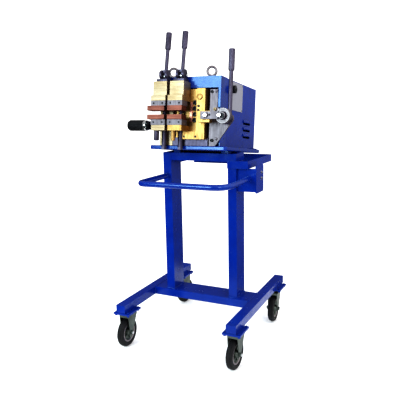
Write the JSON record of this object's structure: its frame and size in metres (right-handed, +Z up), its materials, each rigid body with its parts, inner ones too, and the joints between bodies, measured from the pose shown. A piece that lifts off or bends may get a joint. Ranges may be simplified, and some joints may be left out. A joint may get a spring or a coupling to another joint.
{
  "type": "lever-operated resistance butt welder",
  "caption": "Bench-height resistance butt welder with cam-lever clamps, an eccentric feed lever and a sliding platen, on a steel trolley with swivel casters and a push handle.",
  "frame": {"origin": "centre of the machine's bounding box, on the floor under the tyres", "axes": "+Z up, -Y towards the operator at the clamps, +X to the operator's right; the machine on the trolley leans back 6.8 degrees about X"},
  "size_m": [0.72, 0.8106, 1.5796],
  "materials": {
    "blue_paint": "glossy blue enamel",
    "panel_plate": "satin grey",
    "black_plastic": "matt black moulding",
    "zinc": "zinc plated",
    "tyre": "black rubber",
    "core_iron": "varnished laminations",
    "copper": "machined copper, lightly tarnished",
    "brass": "machined brass",
    "bright_steel": "ground steel",
    "dark_steel": "blackened steel"
  },
  "bodies": {
    "frame": {"left_rail": "blue_paint", "right_rail": "blue_paint", "cross_beam": "blue_paint", "left_post": "blue_paint", "right_post": "blue_paint", "top_member": "blue_paint", "ring_front_right": "blue_paint", "ring_left_rear": "blue_paint", "handle_bracket": "blue_paint", "push_handle": "blue_paint", "base_plate": "blue_paint", "cabinet_shell": "blue_paint", "back_panel": "blue_paint", "hood": "blue_paint", "control_panel": "panel_plate", "tap_switch": "black_plastic", "eye_bolt_left": "zinc", "eye_bolt_right": "zinc", "transformer_core": "core_iron", "primary_coil": "copper", "secondary_loop": "copper", "flexible_shunt": "copper", "contactor": "black_plastic", "cable_gland": "black_plastic", "left_clamp_body": "brass", "slide_rail": "bright_steel", "lower_holder_left": "bright_steel", "lower_electrode_left": "copper", "pull_rod_left": "bright_steel", "bearing_plate": "bright_steel"},
    "swivel_front_left": {"caster_fork_front_left": "zinc"},
    "wheel_front_left": {"tyre_front_left": "tyre", "wheel_hub_front_left": "zinc"},
    "swivel_front_right": {"caster_fork_front_right": "zinc"},
    "wheel_front_right": {"tyre_front_right": "tyre", "wheel_hub_front_right": "zinc"},
    "swivel_rear_left": {"caster_fork_rear_left": "zinc"},
    "wheel_rear_left": {"tyre_rear_left": "tyre", "wheel_hub_rear_left": "zinc"},
    "swivel_rear_right": {"caster_fork_rear_right": "zinc"},
    "wheel_rear_right": {"tyre_rear_right": "tyre", "wheel_hub_rear_right": "zinc"},
    "platen": {"moving_platen": "brass", "lower_holder_right": "bright_steel", "lower_electrode_right": "copper", "pull_rod_right": "bright_steel", "busbar": "copper"},
    "jaw_left": {"upper_jaw_left": "brass", "upper_holder_left": "bright_steel", "upper_electrode_left": "copper"},
    "jaw_right": {"upper_jaw_right": "brass", "upper_holder_right": "bright_steel", "upper_electrode_right": "copper"},
    "lever_left": {"clamp_lever_left": "dark_steel"},
    "lever_right": {"clamp_lever_right": "dark_steel"},
    "feed": {"feed_hub": "bright_steel", "feed_lever": "dark_steel"},
    "link": {"link_bar": "bright_steel"},
    "dial": {"selector_knob": "black_plastic"},
    "stop_screw": {"adjusting_knob": "black_plastic"}
  },
  "joints": [
    {"name": "swivel_turn_front_left", "type": "hinge", "parent": "frame", "child": "swivel_front_left", "pos_m": [-0.286, -0.29916, 0.18], "axis": [0, 0, 1], "continuous": true},
    {"name": "wheel_spin_front_left", "type": "hinge", "parent": "swivel_front_left", "child": "wheel_front_left", "pos_m": [-0.286, -0.33016, 0.075], "axis": [1, 0, 0], "continuous": true},
    {"name": "swivel_turn_front_right", "type": "hinge", "parent": "frame", "child": "swivel_front_right", "pos_m": [0.314, -0.29916, 0.18], "axis": [0, 0, 1], "continuous": true},
    {"name": "wheel_spin_front_right", "type": "hinge", "parent": "swivel_front_right", "child": "wheel_front_right", "pos_m": [0.31238, -0.33011, 0.075], "axis": [0.9986, -0.0523, 0], "continuous": true},
    {"name": "swivel_turn_rear_left", "type": "hinge", "parent": "frame", "child": "swivel_rear_left", "pos_m": [-0.286, 0.29084, 0.18], "axis": [0, 0, 1], "continuous": true},
    {"name": "wheel_spin_rear_left", "type": "hinge", "parent": "swivel_rear_left", "child": "wheel_rear_left", "pos_m": [-0.2833, 0.32173, 0.075], "axis": [-0.9962, 0.0872, 0], "continuous": true},
    {"name": "swivel_turn_rear_right", "type": "hinge", "parent": "frame", "child": "swivel_rear_right", "pos_m": [0.314, 0.29084, 0.18], "axis": [0, 0, 1], "continuous": true},
    {"name": "wheel_spin_rear_right", "type": "hinge", "parent": "swivel_rear_right", "child": "wheel_rear_right", "pos_m": [0.31562, 0.25989, 0.075], "axis": [0.9986, 0.0523, 0], "continuous": true},
    {"name": "feed_lever_turn", "type": "hinge", "parent": "frame", "child": "feed", "pos_m": [0.205, -0.11997, 1.15799], "axis": [0, 0.993, -0.1184], "range_deg": [0, 50]},
    {"name": "platen_slide", "type": "slide", "parent": "frame", "child": "platen", "axis": [1, 0, 0], "range_m": [0, 0.007]},
    {"name": "link_swing", "type": "hinge", "parent": "platen", "child": "link", "pos_m": [0.118, -0.1685, 1.17327], "axis": [0, 0.993, -0.1184], "range_deg": [-0.6, 0.6]},
    {"name": "clamp_lever_turn_left", "type": "hinge", "parent": "frame", "child": "lever_left", "pos_m": [-0.132, -0.11352, 1.36411], "axis": [1, 0, 0], "range_deg": [0, 75]},
    {"name": "jaw_slide_left", "type": "slide", "parent": "frame", "child": "jaw_left", "axis": [0, 0.1184, 0.993], "range_m": [-0.0125, 0]},
    {"name": "clamp_lever_turn_right", "type": "hinge", "parent": "platen", "child": "lever_right", "pos_m": [-0.04, -0.11352, 1.36411], "axis": [1, 0, 0], "range_deg": [0, 75]},
    {"name": "jaw_slide_right", "type": "slide", "parent": "platen", "child": "jaw_right", "axis": [0, 0.1184, 0.993], "range_m": [-0.0125, 0]},
    {"name": "dial_turn", "type": "hinge", "parent": "frame", "child": "dial", "pos_m": [0.168, 0.03336, 1.29523], "axis": [1, 0, 0], "range_deg": [0, 270]},
    {"name": "stop_screw_turn", "type": "hinge", "parent": "frame", "child": "stop_screw", "pos_m": [-0.302, -0.10806, 1.12276], "axis": [1, 0, 0], "continuous": true}
  ],
  "couplings": [
    {"joint": "platen_slide", "follows": "feed_lever_turn", "m_per_rad": 0.007721},
    {"joint": "link_swing", "follows": "feed_lever_turn", "ratio": -0.008128},
    {"joint": "jaw_slide_left", "follows": "clamp_lever_turn_left", "m_per_rad": -0.009167},
    {"joint": "jaw_slide_right", "follows": "clamp_lever_turn_right", "m_per_rad": -0.009167}
  ]
}
